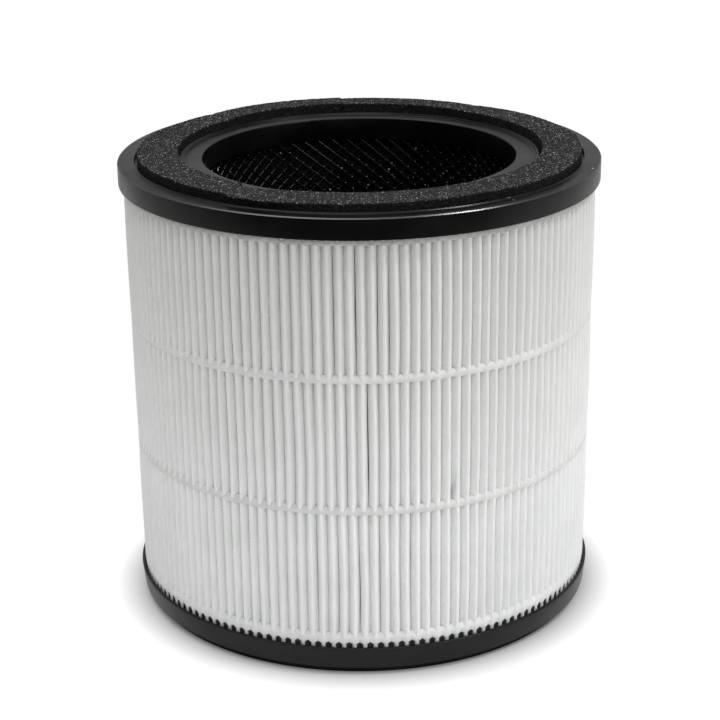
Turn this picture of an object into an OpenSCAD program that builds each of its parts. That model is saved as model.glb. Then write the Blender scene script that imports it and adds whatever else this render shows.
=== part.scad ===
// Round air purifier filter: a ring of pleated paper between two moulded caps,
// with a carbon bed and its net inside and a foam seal on top.
// Millimetres, +Z up, origin in the middle of the standing face.

/* [Whole filter] */
// Height from the standing face to the top cap's flat face
cap_top_h = 177.5; // [120:0.5:260]
// Diameter of the opening, from which the layers are built outwards
opening_d = 121; // [100:1:145]
// Loose fit between one wrapped layer and the next
wrap_gap = 0.3; // [0.1:0.05:0.5]

/* [Top cap] */
// Height of the outer skirt
top_skirt_h = 7.9; // [6.5:0.1:12]
// Wall of the outer skirt
top_skirt_wall = 2; // [1.2:0.1:2.6]
// Chamfer round the outer edge
top_edge_chamfer = 0.6; // [0.2:0.1:1]
// Thickness of the plate under the foam
top_plate_t = 2; // [1.2:0.1:3]
// Wall of the collar round the opening
collar_wall = 1.6; // [1.2:0.1:2.2]
// Height of the collar, measured from the cap's flat face
top_collar_h = 9; // [7:0.5:20]
// Rounding of the opening's upper edge
mouth_round = 1.2; // [0.5:0.1:1.5]
// Width of the smooth ring between the opening and the foam channel
inner_ring_w = 8.7; // [4:0.1:11]
// Width of the foam channel
channel_w = 17.3; // [10:0.1:20]
// Depth of the foam channel
channel_depth = 1; // [0.5:0.1:1.6]
// Width of the thin lip on each side of the channel
lip_w = 0.8; // [0.5:0.1:1.2]
// Height of the lips above the flat face
lip_h = 0.5; // [0.2:0.1:1]

/* [Foam seal] */
// Thickness of the foam strips
foam_t = 4.4; // [2.5:0.1:6]
// Angles at which one strip ends and the next starts, from the right-hand side
foam_joints = [53, 95, 136, 235, 300];
// Room between a strip that lies true and each wall of the channel
foam_slack = 1.35; // [1.2:0.05:2]
// How far each strip is laid outwards of true, in the order of the joints
foam_shifts = [-1, 0.2, 0, 1, 0.5];
// Gap between the ends of two strips
foam_gap = 0.3; // [0.1:0.1:1]

/* [Bottom cap] */
// Wall of the skirt at its rim
bottom_wall = 1.3; // [1:0.1:2]
// Height of the rim above the standing face
bottom_rim_h = 11.5; // [10:0.1:16]
// How much the skirt narrows down to the foot
bottom_draft = 1; // [0.2:0.1:1.2]
// Height of the recessed foot
foot_h = 2.2; // [1:0.1:3]
// How far the foot stands in from the skirt
foot_inset = 2.2; // [0.5:0.1:3]
// Width of the foot's ring
foot_w = 6; // [4:0.5:10]
// Height of the recess under the middle of the cap
under_recess = 1.5; // [0.5:0.1:2]
// Thickness of the floor
floor_t = 2; // [1.5:0.1:3]
// Height of the inner collar above the floor
bottom_collar_h = 8; // [6.5:0.5:14]

/* [Potting] */
// Thickness of the adhesive in the top cap
top_potting_t = 3; // [1.5:0.1:4]
// Thickness of the adhesive in the bottom cap
bottom_potting_t = 5.3; // [3:0.1:6]
// Clearance between the adhesive and the walls beside it
potting_gap = 0.2; // [0.1:0.05:0.3]

/* [Pleated media] */
// Number of pleats
pleat_count = 144; // [100:2:168]
// Depth of the pleats, crest to root
pleat_depth = 21.7; // [16:0.1:22.5]
// Thickness of the paper
media_t = 0.65; // [0.4:0.05:0.75]
// Outer radius of a fold at the crests, outside
crest_fold_r = 1.5; // [1:0.05:1.6]
// Outer radius of a fold at the roots, beside the carbon
root_fold_r = 1; // [0.85:0.05:1.05]
// Clearance between the pleat crests and the top cap's skirt
crest_gap = 0.9; // [0.5:0.1:1.5]
// Clearance between the pleat crests and the bottom cap's rim
rim_gap = 0.2; // [0.1:0.05:0.5]
// Depth to which the seam adhesive fills its pleat
seam_depth = 9; // [4:0.5:15]

/* [Glue beads] */
// Height of one bead
bead_h = 2.3; // [1:0.1:3]
// How far the beads stand out over the crests
bead_proud = 0.3; // [0.1:0.1:0.5]
// First bead's centre above the bottom rim
bead_above_rim = 3.4; // [2:0.1:6]
// Last bead's centre below the top skirt
bead_below_skirt = 1.7; // [1.6:0.1:6]

/* [Carbon bed] */
// Thickness of the bed of granules
carbon_t = 3.7; // [2:0.1:12]
// Thickness of the net's strands
net_t = 0.9; // [0.5:0.1:1.1]
// Openings round the net
net_columns = 12; // [8:1:12]
// Staggered rows of openings
net_rows = 10; // [6:1:10]
// Width of the net's strands
strand_w = 2.2; // [1.5:0.1:3.5]
// Thickness of the scrim round the carbon
scrim_t = 0.5; // [0.3:0.1:0.7]

/* [Hidden] */

// Smoothness of the turned parts
turn_fn = 180;
// Facets on a small rounded edge
edge_fn = 24;
// Facets across the outer and the inner side of a fold
fold_steps = 4;
crease_steps = 2;
// One glue bead for each of the four bead nodes
bead_count = 4;
// Reach of a cutting shape past the face that it cuts
cut_over = 1;

black_plastic = [0.10, 0.10, 0.11];
black_foam = [0.20, 0.21, 0.21];
white_paper = [0.90, 0.91, 0.90];
white_glue = [0.94, 0.94, 0.93];
dark_glue = [0.16, 0.16, 0.17];
carbon_black = [0.06, 0.06, 0.07];

// Half the angle from one pleat's crest to the next
half_step = 180 / pleat_count;

// Radii, from the opening outwards
opening_r = opening_d / 2;
collar_r = opening_r + collar_wall;
net_in_r = collar_r + wrap_gap;
net_out_r = net_in_r + net_t;
carbon_in_r = net_out_r + wrap_gap;
carbon_out_r = carbon_in_r + carbon_t;
scrim_in_r = carbon_out_r + wrap_gap;
scrim_out_r = scrim_in_r + scrim_t;
root_r = scrim_out_r + wrap_gap;
crest_r = root_r + pleat_depth;
skirt_in_r = crest_r + crest_gap;
top_cap_r = skirt_in_r + top_skirt_wall;
channel_in_r = opening_r + inner_ring_w;
channel_out_r = channel_in_r + channel_w;
channel_mid_r = (channel_out_r + channel_in_r) / 2;
foam_w = channel_w - 2 * foam_slack;
rim_in_r = crest_r + rim_gap;
rim_out_r = rim_in_r + bottom_wall;
skirt_foot_r = rim_out_r - bottom_draft;
foot_r = skirt_foot_r - foot_inset;

// Heights, from the standing face upwards
floor_top_z = under_recess + floor_t;
media_low_z = floor_top_z + bottom_potting_t;
channel_z = cap_top_h - channel_depth;
plate_low_z = channel_z - top_plate_t;
media_top_z = plate_low_z - top_potting_t;
media_h = media_top_z - media_low_z;
top_skirt_z = cap_top_h - top_skirt_h;
first_bead_z = bottom_rim_h + bead_above_rim;
last_bead_z = top_skirt_z - bead_below_skirt;
bead_step = (last_bead_z - first_bead_z) / (bead_count - 1);

// The folds' centres, and the radii on the inner side of the folds
crest_mid_r = crest_r - crest_fold_r;
root_mid_r = root_r + root_fold_r;
crest_crease_r = crest_fold_r - media_t;
root_crease_r = root_fold_r - media_t;

// The seam is in the crest nearest to the back
back_pleat = round(pleat_count / 4);
seam_angle = 2 * half_step * back_pleat;

// A point at radius r on the ray at angle a, moved w across that ray
function across(r, w, a) = [r * cos(a) - w * sin(a), r * sin(a) + w * cos(a)];

// A point part of the way from p to q
function between(p, q, share) = p + (q - p) * share;

// Half circle of radius bend_r about radius r on the ray at angle a,
// bulging away from the axis where side is 1 and towards it where side is -1
function bend(r, bend_r, a, side, steps) = [
    for (k = [0 : steps])
        let (turn = 180 * k / steps - 90)
        across(r + side * bend_r * cos(turn), bend_r * sin(turn), a)
];

// The pleats' outer face, once round
function outer_face() = [
    for (i = [0 : pleat_count - 1])
        let (a = 2 * half_step * i)
        each concat(
            bend(crest_mid_r, crest_fold_r, a, 1, fold_steps),
            bend(root_mid_r, root_crease_r, a + half_step, -1, crease_steps)
        )
];

// The pleats' inner face, once round
function inner_face() = [
    for (i = [0 : pleat_count - 1])
        let (a = 2 * half_step * i)
        each concat(
            bend(crest_mid_r, crest_crease_r, a, 1, crease_steps),
            bend(root_mid_r, root_fold_r, a + half_step, -1, fold_steps)
        )
];

// A plain ring between two radii, standing on z
module ring(r_in, r_out, z, h) {
    translate([0, 0, z])
        difference() {
            cylinder(r = r_out, h = h, $fn = turn_fn);
            translate([0, 0, -cut_over])
                cylinder(r = r_in, h = h + 2 * cut_over, $fn = turn_fn);
        }
}

// Half section of the top cap
module top_cap_section() {
    translate([skirt_in_r, top_skirt_z])
        square([top_skirt_wall, top_skirt_h - top_edge_chamfer]);
    polygon([
        [opening_r, cap_top_h - mouth_round],
        [opening_r, cap_top_h - top_collar_h],
        [collar_r, cap_top_h - top_collar_h],
        [collar_r, plate_low_z],
        [top_cap_r, plate_low_z],
        [top_cap_r, cap_top_h - top_edge_chamfer],
        [top_cap_r - top_edge_chamfer, cap_top_h],
        [channel_out_r + lip_w, cap_top_h],
        [channel_out_r + lip_w, cap_top_h + lip_h],
        [channel_out_r, cap_top_h + lip_h],
        [channel_out_r, channel_z],
        [channel_in_r, channel_z],
        [channel_in_r, cap_top_h + lip_h],
        [channel_in_r - lip_w, cap_top_h + lip_h],
        [channel_in_r - lip_w, cap_top_h],
        [opening_r + mouth_round, cap_top_h]
    ]);
    translate([opening_r + mouth_round, cap_top_h - mouth_round])
        circle(r = mouth_round, $fn = edge_fn);
}

module top_cap() {
    color(black_plastic)
        rotate_extrude($fn = turn_fn)
            top_cap_section();
}

// Half section of the bottom cap
module bottom_cap_section() {
    polygon([
        [0, under_recess],
        [foot_r - foot_w, under_recess],
        [foot_r - foot_w, 0],
        [foot_r, 0],
        [foot_r, foot_h],
        [skirt_foot_r, foot_h],
        [rim_out_r, bottom_rim_h],
        [rim_in_r, bottom_rim_h],
        [rim_in_r, media_low_z],
        [rim_in_r - bottom_draft, floor_top_z],
        [collar_r, floor_top_z],
        [collar_r, floor_top_z + bottom_collar_h],
        [opening_r, floor_top_z + bottom_collar_h],
        [opening_r, floor_top_z],
        [0, floor_top_z]
    ]);
}

module bottom_cap() {
    color(black_plastic)
        rotate_extrude($fn = turn_fn)
            bottom_cap_section();
}

// One foam strip, from joint number i to the next
module foam_strip(i) {
    count = len(foam_joints);
    start = foam_joints[i];
    end = i == count - 1 ? foam_joints[0] + 360 : foam_joints[i + 1];
    mid_r = channel_mid_r + foam_shifts[i];
    gap_angle = foam_gap / mid_r * 180 / PI;
    color(black_foam)
        translate([0, 0, channel_z])
            rotate([0, 0, start + gap_angle / 2])
                rotate_extrude(angle = end - start - gap_angle, $fn = turn_fn)
                    translate([mid_r - foam_w / 2, 0])
                        square([foam_w, foam_t]);
}

module foam_back_right() {
    foam_strip(0);
}

module foam_back_left() {
    foam_strip(1);
}

module foam_left() {
    foam_strip(2);
}

module foam_front() {
    foam_strip(3);
}

module foam_right() {
    foam_strip(4);
}

// The folded paper, one closed zigzag
module pleated_media() {
    color(white_paper)
        translate([0, 0, media_low_z])
            linear_extrude(height = media_h)
                difference() {
                    polygon(outer_face());
                    polygon(inner_face());
                }
}

// Adhesive in the one pleat at the back where the paper's ends meet
module seam_glue() {
    share = seam_depth / (crest_mid_r - root_mid_r);
    crease = bend(crest_mid_r, crest_crease_r, seam_angle, 1, crease_steps);
    next_root = across(root_mid_r, -root_fold_r, seam_angle + half_step);
    last_root = across(root_mid_r, root_fold_r, seam_angle - half_step);
    color(white_glue)
        translate([0, 0, media_low_z])
            linear_extrude(height = media_h)
                polygon(concat(crease, [
                    between(crease[crease_steps], next_root, share),
                    between(crease[0], last_root, share)
                ]));
}

// One glue bead: it fills the valleys and runs on over the crests
module glue_bead(i) {
    color(white_glue)
        translate([0, 0, first_bead_z + i * bead_step - bead_h / 2])
            linear_extrude(height = bead_h)
                difference() {
                    circle(r = crest_r + bead_proud, $fn = turn_fn);
                    polygon(outer_face());
                }
}

module bottom_bead() {
    glue_bead(0);
}

module lower_bead() {
    glue_bead(1);
}

module upper_bead() {
    glue_bead(2);
}

module top_bead() {
    glue_bead(3);
}

module top_potting() {
    color(dark_glue)
        ring(collar_r + potting_gap, skirt_in_r - potting_gap, media_top_z, top_potting_t);
}

module bottom_potting() {
    color(dark_glue)
        rotate_extrude($fn = turn_fn)
            polygon([
                [collar_r + potting_gap, floor_top_z],
                [rim_in_r - bottom_draft - potting_gap, floor_top_z],
                [rim_in_r - potting_gap, media_low_z],
                [collar_r + potting_gap, media_low_z]
            ]);
}

// Diamond net on the inside of the carbon
module inner_net() {
    step = 360 / net_columns;
    row_h = (media_h - strand_w) / (net_rows + 1);
    half_w = net_in_r * sin(step / 2) - strand_w / 2;
    half_h = row_h - strand_w / 2;
    color(black_plastic)
        difference() {
            ring(net_in_r, net_out_r, media_low_z, media_h);
            for (row = [1 : net_rows], column = [0 : net_columns - 1])
                rotate([0, 0, step * (column + (row % 2) / 2)])
                    translate([opening_r, 0, media_low_z + strand_w / 2 + row * row_h])
                        rotate([0, 90, 0])
                            linear_extrude(height = net_out_r - opening_r + cut_over)
                                polygon([[half_h, 0], [0, half_w], [-half_h, 0], [0, -half_w]]);
        }
}

// Packed carbon granules, as one bed
module carbon_bed() {
    color(carbon_black)
        ring(carbon_in_r, carbon_out_r, media_low_z, media_h);
}

module scrim_sleeve() {
    color(white_paper)
        ring(scrim_in_r, scrim_out_r, media_low_z, media_h);
}

top_cap();
bottom_cap();
foam_back_right();
foam_back_left();
foam_left();
foam_front();
foam_right();
pleated_media();
seam_glue();
bottom_bead();
lower_bead();
upper_bead();
top_bead();
top_potting();
bottom_potting();
inner_net();
carbon_bed();
scrim_sleeve();
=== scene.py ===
"""A round air purifier filter, dressed for a studio still.

The two moulded caps, the foam seal, the pleated paper with its glue beads and the carbon core
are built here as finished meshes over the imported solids, in metres, with +Z up.
"""

import logging
import math
import random
from dataclasses import dataclass, field
from enum import Enum
from typing import Sequence

import bmesh
import bpy
from mathutils import Matrix, Vector, noise


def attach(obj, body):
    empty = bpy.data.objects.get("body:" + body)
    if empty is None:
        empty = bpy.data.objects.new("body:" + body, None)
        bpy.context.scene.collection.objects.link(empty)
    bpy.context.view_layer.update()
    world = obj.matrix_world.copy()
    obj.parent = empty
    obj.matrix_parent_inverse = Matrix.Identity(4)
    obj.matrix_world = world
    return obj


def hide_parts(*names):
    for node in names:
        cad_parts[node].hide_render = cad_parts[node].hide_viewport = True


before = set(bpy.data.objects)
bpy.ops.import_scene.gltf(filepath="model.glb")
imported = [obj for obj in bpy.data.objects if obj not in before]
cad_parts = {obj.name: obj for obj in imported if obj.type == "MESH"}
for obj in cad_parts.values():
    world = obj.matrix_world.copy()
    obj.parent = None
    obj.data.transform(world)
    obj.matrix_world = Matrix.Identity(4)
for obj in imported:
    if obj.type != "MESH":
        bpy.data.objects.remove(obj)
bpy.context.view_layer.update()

LOG = logging.getLogger("filter")
MM = 0.001
BODY = "root"
SEED = 4107
SECTORS = 12
MERGE = 0.002 * MM

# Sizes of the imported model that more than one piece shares, in mm
OPENING_R = 60.5
CHANNEL_FLOOR = 176.5
RIM_TOP = 11.5
MEDIA_LOW, MEDIA_TOP = 8.8, 171.5

# A Mix node's colour inputs and output, which share their names with those for values
MIX_FIRST, MIX_SECOND, MIX_RESULT = 6, 7, 2

# Where most values of a Noise texture lie, and one band of a Wave texture at a scale of 1
NOISE_LOW, NOISE_HIGH = 0.35, 0.65
WAVE_BAND = 0.314

Corner = tuple[float, float, float]
Place = tuple[float, float, float]
Point = tuple[float, float]
Colour = tuple[float, float, float]


# Mesh helpers


def rounded(corners: Sequence[Corner], steps: int = 5) -> list[Point]:
    """Turns a half section's corners into points, each corner rounded by its own radius.

    Args:
        corners: radius, height and rounding of each corner, in mm, in order.
        steps: facets of each rounding.

    Returns:
        The section's points, in mm.
    """
    points: list[Point] = []
    count = len(corners)
    for index, (radius, height, rounding) in enumerate(corners):
        corner = Vector((radius, height))
        if rounding <= 0:
            points.append((radius, height))
            continue
        before = (Vector(corners[index - 1][:2]) - corner).normalized()
        after = (Vector(corners[(index + 1) % count][:2]) - corner).normalized()
        half_angle = before.angle(after) / 2
        start = corner + before * rounding / math.tan(half_angle)
        end = corner + after * rounding / math.tan(half_angle)
        centre = corner + (before + after).normalized() * rounding / math.sin(half_angle)
        sweep = (start - centre).angle_signed(end - centre)
        for step in range(steps + 1):
            spoke = Matrix.Rotation(-sweep * step / steps, 2) @ (start - centre)
            points.append(tuple(centre + spoke))
    return points


def repeat_round(bm: bmesh.types.BMesh, angle: float, count: int) -> None:
    """Copies a mesh round the filter's axis.

    Args:
        bm: the mesh, which gets the copies.
        angle: angle from one copy to the next.
        count: how many there are in the end, the first included.
    """
    bmesh.ops.spin(
        bm, geom=[*bm.verts, *bm.edges, *bm.faces], cent=(0, 0, 0), axis=(0, 0, 1),
        angle=angle * (count - 1), steps=count - 1, use_duplicate=True,
    )


def turned(points: Sequence[Point], segments: int, closed: bool = True) -> bmesh.types.BMesh:
    """Spins a half section once round the filter's axis.

    Args:
        points: the section, in mm from the axis and from the standing face.
        segments: steps of the spin.
        closed: False where the section starts and ends on the axis.

    Returns:
        The turned shape, with its faces outwards.
    """
    bm = bmesh.new()
    verts = [bm.verts.new((radius * MM, 0, height * MM)) for radius, height in points]
    ends = verts[1:] + verts[:1] if closed else verts[1:]
    edges = [bm.edges.new(pair) for pair in zip(verts, ends)]
    sector = math.tau / SECTORS
    bmesh.ops.spin(
        bm, geom=verts + edges, cent=(0, 0, 0), axis=(0, 0, 1),
        angle=sector, steps=round(segments / SECTORS),
    )
    repeat_round(bm, sector, SECTORS)
    bmesh.ops.remove_doubles(bm, verts=bm.verts, dist=MERGE)
    bmesh.ops.recalc_face_normals(bm, faces=bm.faces)
    return bm


def lofted(rings: Sequence[Sequence[Vector]]) -> bmesh.types.BMesh:
    """Extrudes one ring of vertices through a row of places, and back to where it began.

    Args:
        rings: for each place, the vertices' positions in metres, equally many in each.

    Returns:
        A closed tube, with its faces outwards.
    """
    bm = bmesh.new()
    station = bm.verts.layers.int.new("station")
    verts = bmesh.ops.create_circle(bm, segments=len(rings[0]), radius=1.0)["verts"]
    for index, vert in enumerate(verts):
        vert[station] = index
        vert.co = rings[0][index]
    edges = list(bm.edges)
    for ring in list(rings[1:]) + [rings[0]]:
        made = bmesh.ops.extrude_edge_only(bm, edges=edges)["geom"]
        edges = [piece for piece in made if isinstance(piece, bmesh.types.BMEdge)]
        for piece in made:
            if isinstance(piece, bmesh.types.BMVert):
                piece.co = ring[piece[station]]
    bmesh.ops.remove_doubles(bm, verts=bm.verts, dist=MERGE)
    bmesh.ops.recalc_face_normals(bm, faces=bm.faces)
    return bm


@dataclass(frozen=True)
class Piece:
    """Where a finished mesh belongs on the filter."""

    name: str
    slot: str
    nodes: tuple[str, ...]
    sharp_angle: float = math.radians(40)

    def place(self, bm: bmesh.types.BMesh, material: bpy.types.Material) -> bpy.types.Object:
        """Makes the object, rides it on its body and hides the solids that it stands for.

        Args:
            bm: the finished shape, which is freed here.
            material: its finish.

        Returns:
            The new object.
        """
        mesh = bpy.data.meshes.new(self.name)
        bm.to_mesh(mesh)
        bm.free()
        mesh.shade_smooth()
        mesh.set_sharp_from_angle(angle=self.sharp_angle)
        mesh.materials.append(material)
        piece = bpy.data.objects.new(self.name, mesh)
        bpy.context.scene.collection.objects.link(piece)
        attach(piece, BODY)
        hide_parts(*self.nodes)
        LOG.info("%s: %d faces", self.name, len(mesh.polygons))
        return piece


# Materials


class Graph:
    """A node tree that is filled one node at a time."""

    def __init__(self, tree: bpy.types.NodeTree) -> None:
        """Starts on a tree.

        Args:
            tree: the tree to fill.
        """
        self.tree = tree

    def add(self, kind: str, inputs: dict | None = None, **settings: object) -> bpy.types.Node:
        """Adds a node.

        Args:
            kind: the node's type, without its ShaderNode prefix.
            inputs: values or sockets for its inputs, by name or number.
            settings: the node's own properties.

        Returns:
            The node.
        """
        prefix = "" if kind.startswith("NodeGroup") else "ShaderNode"
        node = self.tree.nodes.new(prefix + kind)
        for name, value in settings.items():
            setattr(node, name, value)
        for name, value in (inputs or {}).items():
            self.feed(node.inputs[name], value)
        return node

    def feed(self, socket: bpy.types.NodeSocket, value: object) -> None:
        """Links an output to a socket, or sets the socket's own value.

        Args:
            socket: the input to feed.
            value: another node's output, or a plain value.
        """
        if isinstance(value, bpy.types.NodeSocket):
            self.tree.links.new(value, socket)
        else:
            socket.default_value = value

    def math(self, operation: str, first: object, second: object = 0.0) -> bpy.types.NodeSocket:
        """Adds a Math node and returns its output."""
        return self.add("Math", {0: first, 1: second}, operation=operation).outputs[0]

    def vector(self, operation: str, inputs: dict, output: str = "Vector") -> bpy.types.NodeSocket:
        """Adds a Vector Math node and returns one of its outputs."""
        return self.add("VectorMath", inputs, operation=operation).outputs[output]

    def span(
        self, value: object, low: float, high: float, to_low: float = 0.0, to_high: float = 1.0
    ) -> bpy.types.NodeSocket:
        """Maps a value from one range to another, held at the ends.

        Args:
            value: the value to map.
            low: where its range starts.
            high: where its range ends.
            to_low: the result at the start.
            to_high: the result at the end.

        Returns:
            The mapped value's output.
        """
        inputs = {
            "Value": value, "From Min": low, "From Max": high, "To Min": to_low, "To Max": to_high,
        }
        return self.add("MapRange", inputs).outputs["Result"]

    def blend(self, share: object, first: object, second: object) -> bpy.types.NodeSocket:
        """Mixes two colours.

        Args:
            share: how much of the second colour there is.
            first: the colour at a share of 0.
            second: the colour at a share of 1.

        Returns:
            The mixed colour's output.
        """
        inputs = {"Factor": share, MIX_FIRST: first, MIX_SECOND: second}
        return self.add("Mix", inputs, data_type="RGBA").outputs[MIX_RESULT]

    def group(self, tree: bpy.types.NodeTree, inputs: dict) -> bpy.types.Node:
        """Places a shared effect with its own values.

        Args:
            tree: the effect's group.
            inputs: values or sockets for its inputs, by name.

        Returns:
            The node.
        """
        node = self.tree.nodes.new("ShaderNodeGroup")
        node.node_tree = tree
        for name, value in inputs.items():
            self.feed(node.inputs[name], value)
        return node


class Kind(Enum):
    """Types of group socket."""

    VALUE = "NodeSocketFloat"
    COLOUR = "NodeSocketColor"
    VECTOR = "NodeSocketVector"


class SharedEffects:
    """Node groups that more than one finish uses."""

    def __init__(self) -> None:
        """Builds each group once."""
        self.tone = self.make_tone()
        self.grain = self.make_grain()
        self.cells = self.make_cells()
        self.mark = self.make_mark()

    @staticmethod
    def start(name: str, inputs: dict[str, Kind], outputs: dict[str, Kind]) -> tuple:
        """Opens a node group.

        Args:
            name: the group's name.
            inputs: its inputs' names and types.
            outputs: its outputs' names and types.

        Returns:
            The group, its graph, its input node and its output node.
        """
        tree = bpy.data.node_groups.new(name, "ShaderNodeTree")
        for socket, kind in inputs.items():
            tree.interface.new_socket(name=socket, in_out="INPUT", socket_type=kind.value)
        for socket, kind in outputs.items():
            tree.interface.new_socket(name=socket, in_out="OUTPUT", socket_type=kind.value)
        graph = Graph(tree)
        return tree, graph, graph.add("NodeGroupInput"), graph.add("NodeGroupOutput")

    def make_tone(self) -> bpy.types.NodeTree:
        """Slow shift of a base colour between two tones.

        Returns:
            The group.
        """
        tree, graph, given, result = self.start(
            "tone_shift",
            {
                "Vector": Kind.VECTOR, "Scale": Kind.VALUE,
                "First": Kind.COLOUR, "Second": Kind.COLOUR,
            },
            {"Color": Kind.COLOUR, "Value": Kind.VALUE},
        )
        source = given.outputs
        inputs = {"Vector": source["Vector"], "Scale": source["Scale"], "Detail": 4.0}
        cloud = graph.add("TexNoise", inputs).outputs["Fac"]
        share = graph.span(cloud, NOISE_LOW, NOISE_HIGH)
        graph.feed(result.inputs["Value"], share)
        mixed = graph.blend(share, source["First"], source["Second"])
        graph.feed(result.inputs["Color"], mixed)
        return tree

    def make_grain(self) -> bpy.types.NodeTree:
        """Fine spark-eroded grain of a mould, as a height.

        Returns:
            The group.
        """
        tree, graph, given, result = self.start(
            "moulded_grain",
            {"Vector": Kind.VECTOR, "Scale": Kind.VALUE},
            {"Height": Kind.VALUE},
        )
        wide_scale, wide_share = 0.22, 0.6
        source = given.outputs
        inputs = {"Vector": source["Vector"], "Scale": source["Scale"], "Detail": 3.0}
        fine = graph.add("TexNoise", inputs).outputs["Fac"]
        scale = graph.math("MULTIPLY", source["Scale"], wide_scale)
        wide = graph.add("TexNoise", {"Vector": source["Vector"], "Scale": scale}).outputs["Fac"]
        lifted = graph.math("MULTIPLY", wide, wide_share)
        graph.feed(result.inputs["Height"], graph.math("ADD", fine, lifted))
        return tree

    def make_cells(self) -> bpy.types.NodeTree:
        """Packed cells or granules: a random value for each, and the distance from its middle.

        Returns:
            The group.
        """
        tree, graph, given, result = self.start(
            "packed_cells",
            {"Vector": Kind.VECTOR, "Scale": Kind.VALUE},
            {"Random": Kind.VALUE, "Depth": Kind.VALUE},
        )
        inputs = {"Vector": given.outputs["Vector"], "Scale": given.outputs["Scale"]}
        near = graph.add("TexVoronoi", inputs, feature="F1")
        parts = graph.add("SeparateColor", {"Color": near.outputs["Color"]})
        graph.feed(result.inputs["Random"], parts.outputs["Red"])
        graph.feed(result.inputs["Depth"], near.outputs["Distance"])
        return tree

    def make_mark(self) -> bpy.types.NodeTree:
        """A thin straight mark between two points, as a mask.

        Returns:
            The group.
        """
        tree, graph, given, result = self.start(
            "thin_mark",
            {"Vector": Kind.VECTOR, "From": Kind.VECTOR, "To": Kind.VECTOR, "Width": Kind.VALUE},
            {"Mask": Kind.VALUE},
        )
        source = given.outputs
        run = graph.vector("SUBTRACT", {0: source["To"], 1: source["From"]})
        reach = graph.vector("SUBTRACT", {0: source["Vector"], 1: source["From"]})
        over = graph.vector("DOT_PRODUCT", {0: reach, 1: run}, "Value")
        length = graph.vector("DOT_PRODUCT", {0: run, 1: run}, "Value")
        share = graph.add("Clamp", {"Value": graph.math("DIVIDE", over, length)}).outputs[0]
        foot = graph.vector("SCALE", {0: run, "Scale": share})
        away = graph.vector("DISTANCE", {0: reach, 1: foot}, "Value")
        near = graph.math("LESS_THAN", away, source["Width"])
        graph.feed(result.inputs["Mask"], near)
        return tree


@dataclass(frozen=True)
class Mark:
    """A pale scratch or speck on a cap's flat ledge, in mm."""

    start: Place
    end: Place
    width: float


class Finish:
    """A procedural material: a Principled shader whose inputs read Object coordinates."""

    def __init__(self, name: str) -> None:
        """Opens the material.

        Args:
            name: the material's name.
        """
        self.material = bpy.data.materials.new(name)
        self.material.use_nodes = True
        self.graph = Graph(self.material.node_tree)
        self.shader = self.material.node_tree.nodes["Principled BSDF"]
        coordinates = self.graph.add("TexCoord").outputs
        self.place = coordinates["Object"]
        self.normal = coordinates["Normal"]

    def part(self, axis: str) -> bpy.types.NodeSocket:
        """Adds one of the point's own three coordinates and returns it."""
        return self.graph.add("SeparateXYZ", {"Vector": self.place}).outputs[axis]

    def upward(self) -> bpy.types.NodeSocket:
        """Adds how far the surface faces up, from -1 to 1, and returns it."""
        return self.graph.add("SeparateXYZ", {"Vector": self.normal}).outputs["Z"]

    def away(self) -> bpy.types.NodeSocket:
        """Adds the point's distance from the filter's axis and returns it."""
        flat = self.graph.add("CombineXYZ", {"X": self.part("X"), "Y": self.part("Y")}).outputs[0]
        return self.graph.vector("LENGTH", {0: flat}, "Value")

    def tone(
        self, effects: SharedEffects, scale: float, first: Colour, second: Colour
    ) -> bpy.types.bpy_prop_collection:
        """Adds a slow shift between two tones.

        Args:
            effects: the shared node groups.
            scale: scale of its clouds.
            first: one tone.
            second: the other tone.

        Returns:
            Its outputs: the colour, and the value that shifts it.
        """
        inputs = {
            "Vector": self.place, "Scale": scale, "First": (*first, 1), "Second": (*second, 1),
        }
        return self.graph.group(effects.tone, inputs).outputs

    def bump(self, height: object, depth: float) -> None:
        """Feeds a height to the shader's normal.

        Args:
            height: the height, about 0 to 1.
            depth: how high 1 stands, in metres.
        """
        node = self.graph.add("Bump", {"Height": height, "Distance": depth, "Strength": 1.0})
        self.graph.feed(self.shader.inputs["Normal"], node.outputs["Normal"])

    def feed(self, name: str, value: object) -> None:
        """Feeds or sets one of the shader's inputs."""
        self.graph.feed(self.shader.inputs[name], value)


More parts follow.
